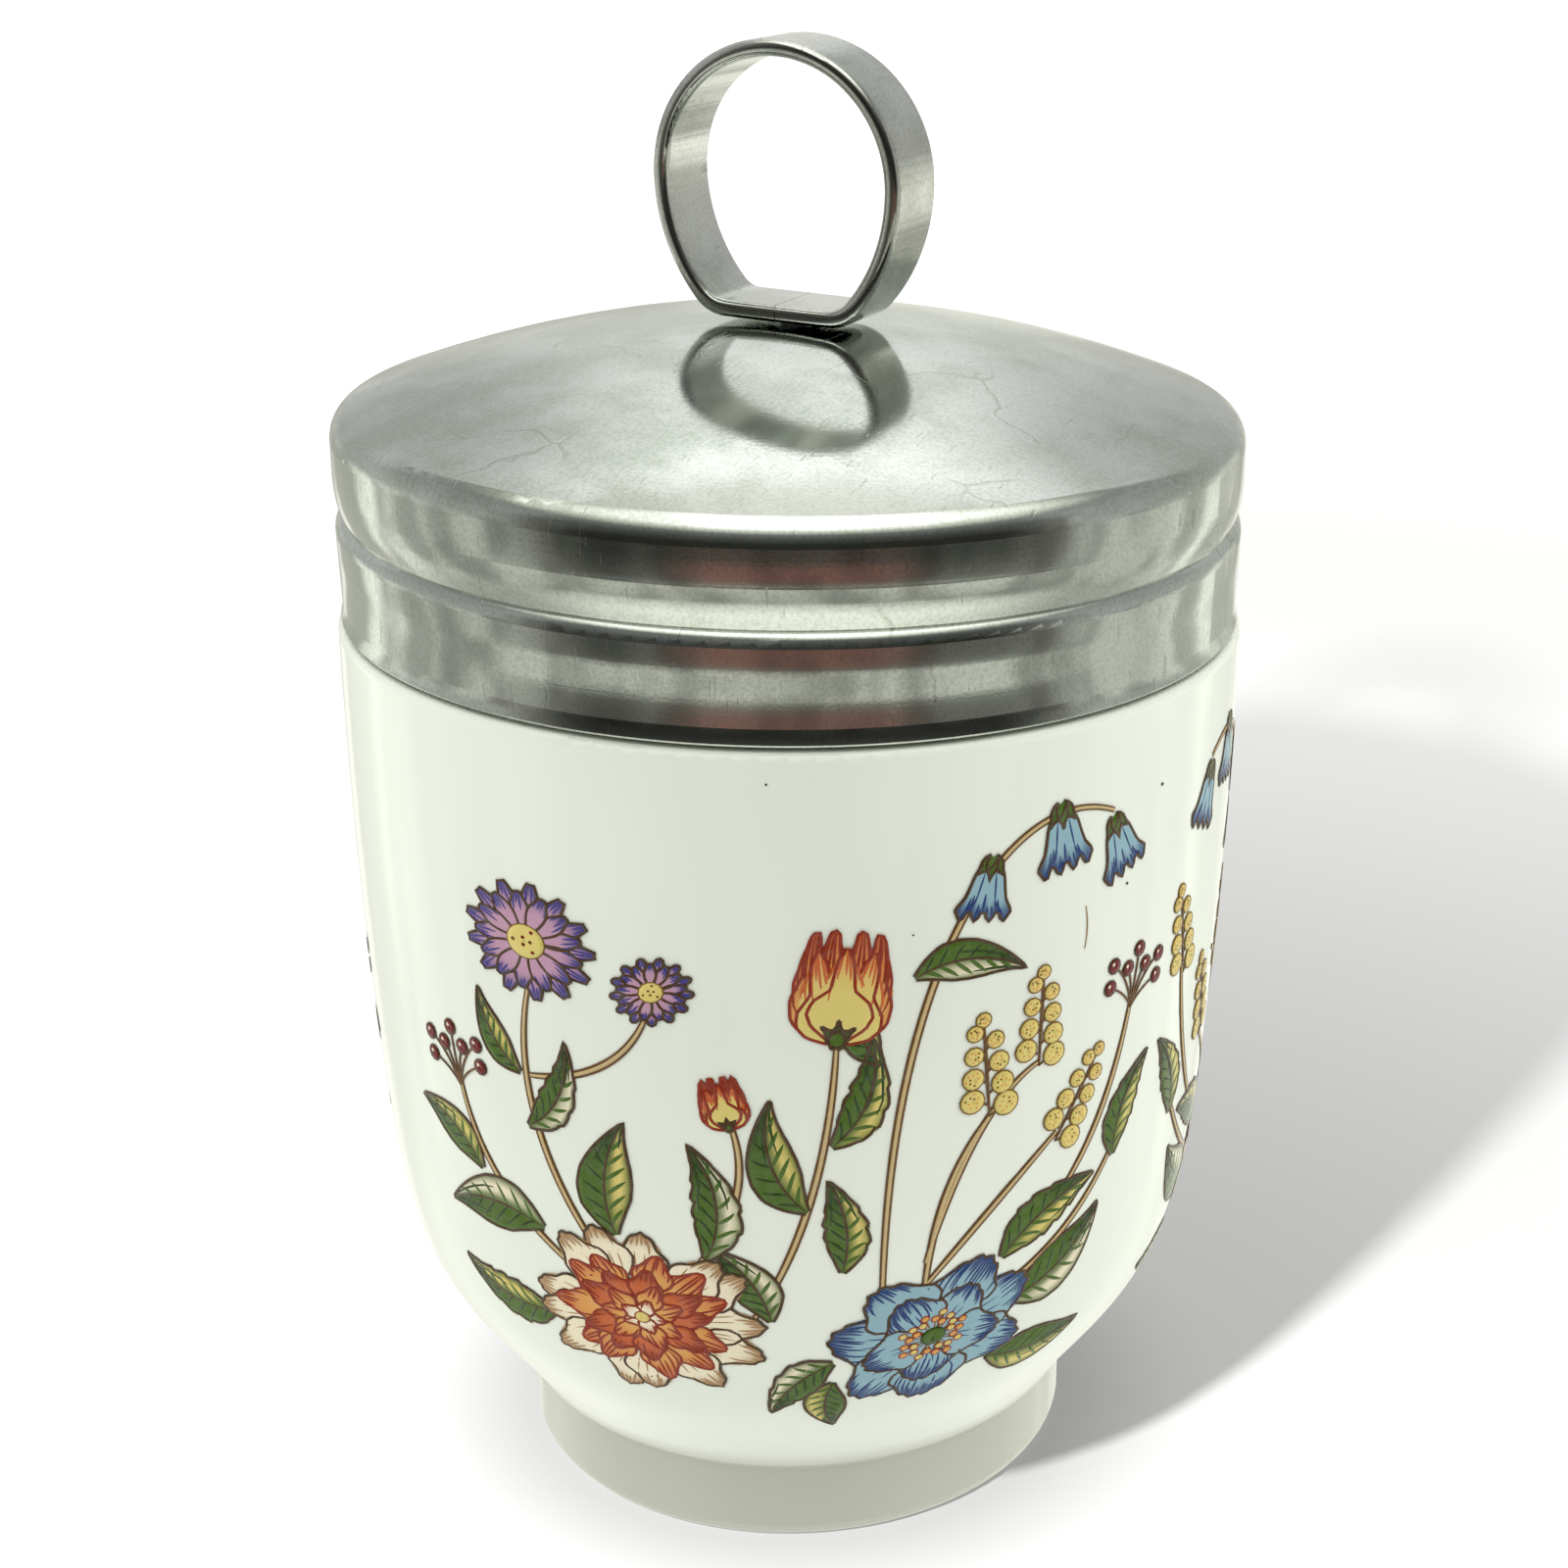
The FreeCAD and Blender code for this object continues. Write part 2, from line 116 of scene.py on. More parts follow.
def glaze_ripple_group():
    """The slight unevenness of a dipped glaze: the height of its waves and the share of thicker glaze."""
    group = bpy.data.node_groups.new("glaze ripple", "ShaderNodeTree")
    face = group.interface
    face.new_socket("Size", in_out="INPUT", socket_type="NodeSocketFloat")
    face.new_socket("Height", in_out="OUTPUT", socket_type="NodeSocketFloat")
    face.new_socket("Pooling", in_out="OUTPUT", socket_type="NodeSocketFloat")
    given = group.nodes.new("NodeGroupInput")
    result = group.nodes.new("NodeGroupOutput")
    where = put(group, "TexCoord").outputs["Object"]
    ripple = put(group, "TexNoise", {"Vector": where, "Scale": given.outputs["Size"], "Detail": 2.0})
    broad = put(group, "TexNoise", {"Vector": where, "Scale": GLAZE_POOLS, "Detail": 2.0})
    group.links.new(ripple.outputs["Fac"], result.inputs["Height"])
    group.links.new(fade(group, broad.outputs["Fac"], 0.35, 0.7), result.inputs["Pooling"])
    return group


glaze_ripple = glaze_ripple_group()


def glaze_finish():
    """The white glaze, a foot ring darker by thinner glaze and painted shade, and a matt wiped edge."""
    material, tree, surface = finish_of("white glaze")
    ripple = put(tree, "Group", {"Size": GLAZE_WAVES}, node_tree=glaze_ripple)
    height = put(tree, "SeparateXYZ", {0: put(tree, "TexCoord").outputs["Object"]}).outputs["Z"]
    bare = fade(tree, height, BARE_UP_TO / 2, BARE_UP_TO, 1.0, 0.0)
    # Painted shade: the foot ring under the body's overhang is darker, on top of its thinner glaze.
    thin_and_shaded = fade(tree, height, THIN_AND_SHADED_UP_TO, FULL_FROM, 1.0, 0.0)
    glaze = tint(tree, ripple.outputs["Pooling"], PORCELAIN, POOLED_GLAZE)
    glaze = tint(tree, thin_and_shaded, glaze, THIN_GLAZE_AND_SHADE)
    tree.links.new(tint(tree, bare, glaze, BARE_FOOT), surface.inputs["Base Color"])
    rough = sums(tree, "MULTIPLY_ADD", bare, BARE_ROUGH - GLAZE_ROUGH, GLAZE_ROUGH)
    tree.links.new(rough, surface.inputs["Roughness"])
    waves = {"Height": ripple.outputs["Height"], "Strength": 0.05, "Distance": WAVE_HEIGHT}
    bump = put(tree, "Bump", waves)
    tree.links.new(bump.outputs[0], surface.inputs["Normal"])
    surface.inputs["IOR"].default_value = GLAZE_IOR
    return material


wear_it(nodes["cup"], glaze_finish())


# The decoration is a printed transfer of garden flowers, slid on to the glaze in three
# sprays and fired a second time: flat enamel colours with sepia outlines and short
# brush hatching, each colour a few hundredths of a millimetre thick.

# The camera looks at the cup from VIEW_TURN round it. Sizes and places of the print are in millimetres.
VIEW_TURN = math.radians(28)
SPAN_RADIUS = 32.0
WALL_LOW = 8.5
WALL_HIGH = 65.5
WALL_STEP = 0.25
RAY_START = 50
SLOPE_REACH = 0.3
FILM_THICK = 0.05
FILM_LIFT = 0.008
LEVEL_RISE = 0.002
PATCH_STEP = 0.4
RIM_LINE = 0.22
STEM_WIDTH = 0.62
MIDRIB_LINE = 0.2
HATCH_LINE = 0.19
FINE_LINE = 0.13
PINHOLE = 0.02
DISC_POINTS = 16
LEAF_TEETH = 6
HATCH_LEVEL, MIDRIB_LEVEL, RIM_LEVEL = 0.8, 1.1, 1.4
ENAMEL_WAVES = 900.0
ENAMEL_GRAIN = 1400.0
WORN_ENAMEL = (0.9, 0.92, 0.85)


def paint(code):
    """The linear colour of a six-digit mixing code."""
    parts = [int(code[i : i + 2], 16) / 255 for i in (0, 2, 4)]
    return tuple(((part + 0.055) / 1.055) ** 2.4 if part > 0.04045 else part / 12.92 for part in parts)


SKY, COBALT = paint("8FB2BF"), paint("1A3770")
LEAF, MOSS, STRAW = paint("48651B"), paint("263D0E"), paint("DCC974")
AMBER, CORAL, RUST = paint("DB9E54"), paint("C4602F"), paint("8B2A10")
CREAM, BUFF, MAUVE, PLUM = paint("EFE4C8"), paint("A67F55"), paint("BF93AC"), paint("3F3A80")
SEPIA, OCHRE, WINE = paint("4A331B"), paint("7D5A12"), paint("6A1418")
TWIG, TWIG_LIGHT = paint("664521"), paint("C8AF7E")


def outer_wall(cup):
    """The cup's outer wall as matching lists of height, radius and length along the wall, in mm."""
    tree = BVHTree.FromPolygons([v.co for v in cup.data.vertices], [p.vertices for p in cup.data.polygons])
    heights = np.arange(WALL_LOW, WALL_HIGH, WALL_STEP)
    headings = [Vector((math.cos(a), math.sin(a), 0)) for a in np.linspace(0.01, 6.0, 48)]
    radii = []
    for z in heights:
        starts = [out * (RAY_START * MM) + Vector((0, 0, z * MM)) for out in headings]
        hits = [tree.ray_cast(start, -out)[0] for start, out in zip(starts, headings)]
        radii.append(max(math.hypot(hit.x, hit.y) for hit in hits) / MM)
    lengths = np.concatenate(([0], np.cumsum(np.hypot(np.diff(heights), np.diff(radii)))))
    return heights, np.array(radii), lengths


wall_height, wall_radius, wall_length = outer_wall(nodes["cup"])


def on_wall(start, aside, up, lift):
    """Points on the cup and proud of it by lift, at start and aside more round it and up along its wall."""
    up = np.clip(up, wall_length[1], wall_length[-2])
    radius = np.interp(up, wall_length, wall_radius)
    height = np.interp(up, wall_length, wall_height)
    over, under = up + SLOPE_REACH, up - SLOPE_REACH
    ahead = np.interp(over, wall_length, wall_radius) - np.interp(under, wall_length, wall_radius)
    climb = np.interp(over, wall_length, wall_height) - np.interp(under, wall_length, wall_height)
    slant = np.hypot(ahead, climb)
    angle = start / SPAN_RADIUS + aside / radius
    out = radius + lift * climb / slant
    return np.stack([out * np.sin(angle), -out * np.cos(angle), height - lift * ahead / slant], -1) * MM


class Transfer:
    """One piece of the print, laid as patches of enamel by a pen that stands at a place on the cup."""

    def __init__(self):
        self.points, self.faces, self.inks, self.count = [], [], [], 0
        self.stand(0, 0)

    def stand(self, start, up, turn=0.0, size=1.0, squash=1.0, level=0):
        """Stands the pen at a place round and up the cup, with the turn, size and level of its work."""
        self.start, self.up, self.level, self.size, self.squash = start, up, level, size, squash
        self.cos, self.sin = math.cos(math.radians(turn)), math.sin(math.radians(turn))

    def lay(self, flat, inks, level, loop=False):
        """Lays a grid of flat points (rows, columns, 2) with one colour for all of them or for each."""
        rows, columns = flat.shape[:2]
        x, y = flat[..., 0] * self.size, flat[..., 1] * self.size
        aside = x * self.cos - y * self.sin * self.squash
        up = x * self.sin + y * self.cos * self.squash
        places = on_wall(self.start, aside, self.up + up, FILM_LIFT + LEVEL_RISE * (self.level + level))
        index = self.count + np.arange(rows * columns).reshape(rows, columns)
        if loop:
            index = np.concatenate([index, index[:, :1]], 1)
        quads = np.stack([index[:-1, :-1], index[:-1, 1:], index[1:, 1:], index[1:, :-1]], -1)
        self.points.append(places.reshape(-1, 3))
        self.faces.append(quads.reshape(-1, 4))
        self.inks.append(np.broadcast_to(inks, (rows, columns, 3)).reshape(-1, 3))
        self.count += rows * columns

    def stroke(self, path, width, ink, level, ends=1.0):
        """A brush line of that width along a flat path, narrowing to a share of it at its ends."""
        path = np.asarray(path, float)
        lengths = np.concatenate(([0], np.cumsum(np.linalg.norm(np.diff(path, axis=0), axis=1))))
        count = max(3, int(lengths[-1] * self.size / PATCH_STEP) + 2)
        along = np.linspace(0, lengths[-1], count)
        line = np.stack([np.interp(along, lengths, path[:, i]) for i in (0, 1)], -1)
        slope = np.gradient(line, axis=0)
        slope /= np.linalg.norm(slope, axis=1)[:, None] + 1e-9
        share = along / lengths[-1]
        taper = ends + (1 - ends) * np.sin(np.pi * share) ** 0.7
        half = (width / 2 / self.size * taper)[:, None]
        side = np.stack([-slope[:, 1], slope[:, 0]], -1) * half
        self.lay(np.stack([line - side, line + side], 1), ink, level)

    def petal(self, angle, inner, length, widths, fill, shade, bend=0.0, blunt=0.25, teeth=0, bite=0.0,
              notch=0.0, wash=0.45, light=None, hatch=7, reach=0.75, tone=None, ribs=0, line=SEPIA,
              level=0, seed=1):
        """A petal or leaf that grows out along an angle from inner, its widths given at even places.

        Shape: bend turns the tip aside, blunt rounds it, teeth of depth bite cut it, notch saws its flanks.
        Colours: fill, then shade from the share wash on, light in a streak, and line round the outside.
        Strokes: a number of hatch lines of tone, down from the tip by reach, and of ribs to each side.
        """
        rng = np.random.RandomState(seed)
        rows = max(6, int(length * self.size / PATCH_STEP) + 1)
        columns = max(7, int(max(widths) * self.size / PATCH_STEP) | 1)
        if teeth:
            columns = max(columns, teeth * 4 + 1)
        direction = math.radians(angle)

        def place(t, v):
            """The flat point a share t out along the petal and a share v aside of its midline."""
            cut = 1 - blunt * np.abs(v) ** 2.2
            if teeth:
                cut = cut - bite * (0.5 + 0.5 * np.cos(np.pi * teeth * (v + 1)))
            out = t * cut
            turn = direction + bend * length * out
            half = np.interp(t, np.linspace(0, 1, len(widths)), widths) / 2
            if notch:
                half = half * (1 - notch * (t * LEAF_TEETH % 1) * np.sin(np.pi * t))
            x, y = inner + length * out, v * half
            return np.stack([x * np.cos(turn) - y * np.sin(turn), x * np.sin(turn) + y * np.cos(turn)], -1)

        t, v = np.meshgrid(np.linspace(0, 1, rows), np.linspace(-1, 1, columns), indexing="ij")
        share = np.clip((t - wash) / (1.02 - wash), 0, 1)
        share = (share * share * (3 - 2 * share))[..., None]
        inks = np.array(fill) * (1 - share) + np.array(shade) * share
        if light is not None:
            pale = np.clip(1.3 - np.abs(v + 0.55) * 3.2, 0, 1)[..., None] * np.clip(t * 3, 0, 1)[..., None]
            inks = inks * (1 - pale) + np.array(light) * pale
        self.lay(place(t, v), inks, level)
        for k in range(hatch):
            aside = -0.85 + 1.7 * (k + rng.rand() * 0.6 + 0.2) / hatch
            start = 1 - (1 - wash) * (0.4 + reach * rng.rand())
            steps = np.linspace(0.99, max(0.08, start), 6)
            path = place(steps, np.full(6, aside))
            self.stroke(path, HATCH_LINE, tone or shade, level + HATCH_LEVEL, 0.3)
        if ribs:
            run = np.linspace(0, 1, 5)
            for k in range(ribs):
                root = 0.08 + 0.78 * k / ribs
                for way, ink, width in ((-1, fill, 0.3), (1, shade, 0.2)):
                    rib = place(root + 0.13 * run, way * 0.8 * run)
                    self.stroke(rib, width, ink, level + HATCH_LEVEL, 0.25)
            midrib = place(np.linspace(0.02, 0.95, 10), np.zeros(10))
            self.stroke(midrib, MIDRIB_LINE, line, level + MIDRIB_LEVEL, 0.4)
        rim = np.concatenate([
            place(np.linspace(0, 1, rows * 2), np.full(rows * 2, -1.0)),
            place(np.ones(columns * 2), np.linspace(-1, 1, columns * 2)),
            place(np.linspace(1, 0, rows * 2), np.full(rows * 2, 1.0)),
        ])
        self.stroke(rim, RIM_LINE, line, level + RIM_LEVEL)

    def disc(self, x, y, radius, ink, level, line=None):
        """A dot of enamel, with a rim if it has a line colour."""
        turns = np.linspace(0, 2 * np.pi, max(10, int(radius * self.size * DISC_POINTS)), endpoint=False)
        ring = np.stack([np.cos(turns), np.sin(turns)], -1)
        count = max(2, int(radius * self.size / PATCH_STEP) + 2)
        centre = np.array([x, y])
        if line is not None:
            rim = radius + RIM_LINE / 2 / self.size
            self.lay(np.stack([centre + ring * rim * k for k in (PINHOLE, 1)]), line, level, loop=True)
        dot = np.stack([centre + ring * radius * k for k in np.linspace(PINHOLE, 1, count)])
        self.lay(dot, ink, level + 0.5, loop=True)

    def piece(self, name, finish):
        """Fires what was laid into one piece of the cup's print."""
        mesh = bpy.data.meshes.new(name)
        points, faces = np.concatenate(self.points), np.concatenate(self.faces)
        mesh.from_pydata(points.tolist(), [], faces.tolist())
        ink = mesh.color_attributes.new("ink", "FLOAT_COLOR", "POINT")
        colours = np.concatenate([np.concatenate(self.inks), np.ones((len(points), 1))], 1)
        ink.data.foreach_set("color", colours.astype(np.float32).ravel())
        mesh.polygons.foreach_set("use_smooth", np.ones(len(faces), bool))
        mesh.materials.append(finish)
        thing = bpy.data.objects.new(name, mesh)
        bpy.context.scene.collection.objects.link(thing)
        body = thing.modifiers.new("film", "SOLIDIFY")
        body.thickness = FILM_THICK * MM
        body.offset = -1
        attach(thing, "cup")


def enamel_finish():
    """Enamel in the ink's own colour, a little paler in grains, and softer in its shine than the glaze."""
    material, tree, surface = finish_of("fired enamel")
    ink = put(tree, "VertexColor", layer_name="ink").outputs["Color"]
    where = put(tree, "TexCoord").outputs["Object"]
    mottle = put(tree, "TexNoise", {"Vector": where, "Scale": ENAMEL_GRAIN, "Detail": 3.0})
    share = fade(tree, mottle.outputs["Fac"], 0.3, 0.75, 0.0, 0.04)
    tree.links.new(tint(tree, share, ink, WORN_ENAMEL), surface.inputs["Base Color"])
    ripple = put(tree, "Group", {"Size": ENAMEL_WAVES}, node_tree=glaze_ripple)
    rough = sums(tree, "MULTIPLY_ADD", ripple.outputs["Pooling"], 0.06, 0.14)
    tree.links.new(rough, surface.inputs["Roughness"])
    waves = {"Height": ripple.outputs["Height"], "Strength": 0.06, "Distance": WAVE_HEIGHT}
    bump = put(tree, "Bump", waves)
    tree.links.new(bump.outputs[0], surface.inputs["Normal"])
    surface.inputs["Specular IOR Level"].default_value = 0.2
    surface.inputs["IOR"].default_value = GLAZE_IOR
    return material


enamel = enamel_finish()


def daisy(sheet, start, up, size, turn):
    """An open daisy: two rings of narrow petals round a dotted heart."""
    sheet.stand(start, up, turn, size, 0.8, 10)
    for ring, length in ((0, 4.0), (1, 3.1)):
        for k in range(13):
            angle = 360 / 13 * (k + 0.5 * ring)
            sheet.petal(angle, 1.0, length, (0.5, 1.0, 1.35, 1.4, 0.9), MAUVE, PLUM, blunt=0.12, teeth=2,
                        bite=0.06, wash=0.5, hatch=4, level=ring * 6 + 2 * (k % 3), seed=k + 7 * ring)
    sheet.disc(0, 0, 1.35, STRAW, 13, OCHRE)
    for k in range(12):
        heading, reach = 1.05 * k, 0.35 + 0.6 * (k % 2)
        sheet.disc(reach * math.cos(heading), reach * math.sin(heading), 0.15, RUST if k % 3 else OCHRE, 15)


def mimosa(sheet, start, up, size, turn):
    """A sprig of yellow pompons up both sides of a twig, the smallest at its tip."""
    sheet.stand(start, up, turn, size, 1.0, 10)
    sheet.stroke([(0, -0.8), (0, 7.8)], 0.26, TWIG, 0, 0.5)
    for k in range(9):
        aside = 0.0 if k == 8 else (-1) ** k * (1.5 - 0.1 * k)
        above, radius = 1.0 * k, 1.04 - 0.055 * k
        sheet.stroke([(0, above - 0.7), (aside, above)], 0.16, TWIG, 1)
        sheet.disc(aside, above, radius, STRAW, 2 + 3 * (k % 2), OCHRE)
        for m in range(9):
            heading, reach = 2.4 * m + k, radius * (0.3 + 0.055 * m)
            spot = aside + reach * math.cos(heading), above + reach * math.sin(heading)
            sheet.disc(*spot, 0.11, AMBER if m % 3 else OCHRE, 4 + 3 * (k % 2))


def tulip(sheet, start, up, size, turn):
    """A tulip seen from the side, its petals opening."""
    sheet.stand(start, up, turn, size, 1.0, 10)
    for k, lean in enumerate((-40, 40, -17, 17)):
        sheet.petal(90 - lean, 0.2, 7.0, (0.9, 2.9, 3.6, 3.0, 1.2), AMBER, CORAL, bend=0.0016 * lean,
                    blunt=0.35, teeth=2, bite=0.03, wash=0.3, hatch=8, tone=RUST, line=RUST,
                    level=2 * k, seed=k + 3)
    for k, lean in enumerate((-27, 27, 0)):
        sheet.petal(90 - lean, 0.0, 6.0, (1.2, 3.2, 3.9, 3.3, 1.4), STRAW, AMBER, bend=0.0012 * lean,
                    blunt=0.4, teeth=3, bite=0.06, wash=0.5, hatch=9, tone=CORAL, line=RUST,
                    level=8 + 2 * k, seed=k + 13)
    for lean in (-50, 50, 0):
        sheet.petal(90 - lean, -0.6, 2.0, (0.5, 1.0, 0.9, 0.2), LEAF, MOSS, hatch=2, level=14 + (lean == 0))


def dahlia(sheet, start, up, size, turn):
    """The large bloom: cream guard petals round rings of coral petals that close over a tight heart."""
    sheet.stand(start, up, turn, size, 0.85, 12)
    rings = (
        (13, 3.9, 4.6, 3.9, CREAM, BUFF, 0.62, 9, SEPIA),
        (11, 2.9, 3.5, 3.0, AMBER, CORAL, 0.25, 6, RUST),
        (9, 1.9, 2.9, 2.5, CORAL, RUST, 0.35, 5, RUST),
        (7, 0.9, 2.3, 2.0, AMBER, CORAL, 0.3, 4, RUST),
        (5, 0.2, 1.5, 1.4, CREAM, CORAL, 0.4, 3, RUST),
    )
    for depth, (count, inner, length, width, fill, shade, wash, hatch, line) in enumerate(rings):
        widths = [width * w for w in (0.45, 0.8, 1.0, 0.95, 0.6)]
        for k in range(count):
            angle = 360 / count * (k + 0.5 * (depth % 2)) + 8 * math.sin(k * 2.3 + depth)
            long = length * (1 + 0.08 * math.sin(k * 1.7))
            sheet.petal(angle, inner, long, widths, fill, shade, blunt=0.3, teeth=1 if depth else 3,
                        bite=0.06, wash=wash, hatch=hatch, tone=line if depth else BUFF, line=line,
                        level=depth * 6 + 2 * (k % 3), seed=k + 31 * depth)
            if depth == 0:
                heading = math.radians(angle)
                for side in (-0.16, -0.05, 0.07, 0.17):
                    out = np.array([math.cos(heading + side), math.sin(heading + side)])
                    sheet.stroke([out * 4.6, out * (6.3 + side)], FINE_LINE, BUFF, 2 * (k % 3) + 0.9, 0.2)
    sheet.disc(0, 0, 0.5, STRAW, 30, RUST)


def poppy(sheet, start, up, size, turn):
    """The blue bloom: broad ruffled petals hatched with cobalt, and amber stamens round a green heart."""
    sheet.stand(start, up, turn, size, 0.8, 11)
    for ring, (count, inner, length, width) in enumerate(((7, 1.8, 5.8, 5.6), (5, 0.5, 4.6, 4.7))):
        widths = [width * w for w in (0.25, 0.62, 0.95, 1.0, 0.72)]
        for k in range(count):
            angle = 360 / count * (k + 0.5 * ring)
            level = ring * 7 + 2 * (k % 3)
            sheet.petal(angle, inner, length, widths, SKY, COBALT, bend=0.02 * (-1) ** k, blunt=0.3,
                        teeth=4, bite=0.06, wash=0.74 - 0.14 * (k % 2), hatch=15, reach=1.2, level=level,
                        seed=k + 17 * ring)
            steps = np.linspace(0.15, 0.55, 5)
            for side in (-0.12, 0.12):
                out = np.radians(angle) + side * (1 - 0.4 * steps)
                vein = np.stack([np.cos(out), np.sin(out)], -1) * (inner + length * steps)[:, None]
                sheet.stroke(vein, FINE_LINE, COBALT, level + 0.9, 0.2)
    for k in range(26):
        heading = 2.4 * k
        tip = np.array([math.cos(heading), math.sin(heading)]) * (1.3 + 0.045 * k)
        sheet.stroke([tip * 0.4, tip], 0.11, OCHRE, 14)
        sheet.disc(tip[0], tip[1], 0.25, AMBER if k % 2 else STRAW, 15 + k % 2, RUST)
    sheet.disc(0, 0, 0.8, LEAF, 19, MOSS)


def bell(sheet, start, up, size, turn):
    """A bellflower that hangs from its stalk, with a flared and toothed mouth."""
    sheet.stand(start, up, turn, size, 1.0, 10)
    sheet.petal(90, 0.6, 4.4, (1.6, 2.4, 2.8, 3.3, 4.6), SKY, COBALT, blunt=0.0, teeth=4, bite=0.2,
                wash=0.6, hatch=11, seed=5)
    for lean in (-0.45, 0.45):
        sheet.stroke([(lean, 1.2), (lean * 1.7, 3.4)], 0.14, COBALT, 2, 0.3)
    for k, lean in enumerate((-38, 38, 0)):
        sheet.petal(90 - lean, 0.0, 1.9, (0.6, 1.0, 0.8, 0.15), LEAF, MOSS, hatch=2, level=3 + k, seed=k)


def leaf(sheet, start, up, angle, length, width, bend, level, seed):
    """A pointed leaf with a midrib, side ribs and one pale flank. Every second leaf has sawn edges."""
    sheet.stand(start, up, level=level)
    widths = [width * w for w in (0.1, 0.55, 0.92, 1.0, 0.9, 0.64, 0.33, 0.02)]
    light = STRAW if seed % 3 else CREAM
    notch = 0.22 if seed % 2 else 0.0
    sheet.petal(angle, 0.0, length, widths, LEAF, MOSS, bend=bend, blunt=0.0, notch=notch, light=light,
                hatch=3, ribs=6, seed=seed)


def bowed(points, count=40):
    """A smooth line that starts at the first point, ends at the last and bends towards those between."""
    share = np.linspace(0, 1, count)[:, None]
    lines = [np.broadcast_to(np.array(p, float), (count, 2)) for p in points]
    while len(lines) > 1:
        lines = [a * (1 - share) + b * share for a, b in zip(lines, lines[1:])]
    return lines[0]


def stem(sheet, middle, points):
    """A brown stem with a pale middle, bowed between points of place round the cup and height."""
    line = bowed(points)
    sheet.stand(middle, 0)
    line[:, 0] *= np.interp(line[:, 1], wall_length, wall_radius) / SPAN_RADIUS
    sheet.stroke(line, STEM_WIDTH, TWIG, 0, 0.6)
    sheet.stroke(line, STEM_WIDTH * 0.42, TWIG_LIGHT, 1, 0.6)


def berries(sheet, start, up, turn):
    """A loose head of round berries on hair stalks."""
    sheet.stand(start, up, turn, level=12)
    for k in range(7):
        heading = math.radians(35 + 110 * k / 6)
        tip = np.array([math.cos(heading), math.sin(heading)]) * (3.2 + 1.1 * (k % 2))
        sheet.stroke(bowed([(0, 0), (tip[0] * 0.3, tip[1] * 0.7), tip], 8), 0.16, TWIG, 0)
        sheet.disc(tip[0], tip[1], 0.52, WINE, 2, SEPIA)
        sheet.disc(tip[0] - 0.15, tip[1] + 0.16, 0.13, CREAM, 4)


# A stem is a list of points, a leaf is (aside, up, angle, length, width, bend), a bloom is (aside, up,
# size, turn) and a head of berries is (aside, up, turn), with aside counted from the spray's middle.
FRONT_SPRAY = dict(
    middle=0.0,
    way=1,
    stems=(
        [(-11, 18), (-22, 30), (-18.5, 42)], [(-4, 17), (2, 26), (2.5, 40)],
        [(6, 16), (5, 42), (12, 58), (22.5, 53)], [(9, 18), (9, 28), (13.5, 33)],
        [(9, 20), (14, 26), (19, 30)], [(-12, 18), (-25, 24), (-26, 33)],
        [(7, 16), (21, 18), (26, 29)], [(9, 22), (12, 34), (17, 36)],
        [(-19, 35), (-12, 36), (-10, 41)], [(-7.5, 22), (-2.5, 28), (-4.6, 34)],
        [(19, 24), (24, 29), (25.5, 38)],
    ),
    leaves=(
        (-19, 23, 158, 9.5, 4.4, 0.5), (-19, 16, 200, 9.0, 4.0, -0.5), (-13, 24, 112, 9.0, 4.2, -0.5),
        (-6.5, 23, 62, 9.0, 3.8, 0.6), (0.6, 27, 140, 9.0, 3.6, -0.6), (2.2, 32, 38, 8.5, 3.4, 0.6),
        (16, 17, 8, 9.5, 4.4, 0.5), (15, 21, 52, 9.0, 4.0, -0.4), (15, 12, -22, 8.5, 4.0, 0.4),
        (2.5, 14, 205, 7.0, 3.6, 0.5), (2.5, 12, 250, 6.0, 3.0, 0.4), (5.5, 38, 135, 8.0, 3.0, -0.6),
        (7.6, 44, 30, 8.0, 3.0, -0.6), (25, 26, 95, 8.0, 3.4, -0.5), (-24.5, 26, 125, 7.5, 3.2, 0.5),
        (-19.5, 31, 30, 8.0, 3.0, 0.6), (-19.8, 35, 150, 6.5, 2.6, -0.5), (3, 22, 75, 7.5, 3.4, 0.4),
        (-2, 18, 100, 7.0, 3.2, 0.4),
    ),
    dahlia=((-11.5, 17.5, 1.02, 0),),
    poppy=((10, 15.5, 1.04, 20),),
    daisy=((-18.5, 45, 1.08, 0), (-9.5, 43, 0.62, 25)),
    tulip=((2.5, 40, 1.12, -6), (-4.6, 33.5, 0.55, 12)),
    bell=((22.5, 52.5, 0.95, 200), (17.8, 54.5, 1.0, 188), (12.8, 51.8, 0.9, 170)),
    mimosa=((13.2, 33.4, 0.85, 6), (19.2, 29.8, 0.8, -30), (17.0, 36.3, 0.8, 0)),
    berries=((-26, 32, 8), (25.5, 37.5, -8)),
)
SPRAYS = {
    "front": FRONT_SPRAY,
    "right": FRONT_SPRAY | dict(
        middle=58.0,
        way=-1,
        dahlia=((10, 16.5, 0.95, 30),),
        poppy=((-11.5, 17, 1.05, 0),),
        mimosa=((13.4, 33.4, 0.88, 4), (18.9, 30.4, 0.85, -18), (25.3, 38, 0.8, -12)),
        berries=((-26, 32, 8),),
    ),
    "left": FRONT_SPRAY | dict(
        middle=-74.0,
        way=-1,
        daisy=((2.5, 43, 1.1, 0), (-9.5, 43, 0.62, 25)),
        tulip=((-18.5, 42, 1.05, 10), (-4.6, 33.5, 0.55, 12)),
    ),
}
# The place round the cup that faces the camera, where the front spray has its middle.
VIEW_START = VIEW_TURN * SPAN_RADIUS


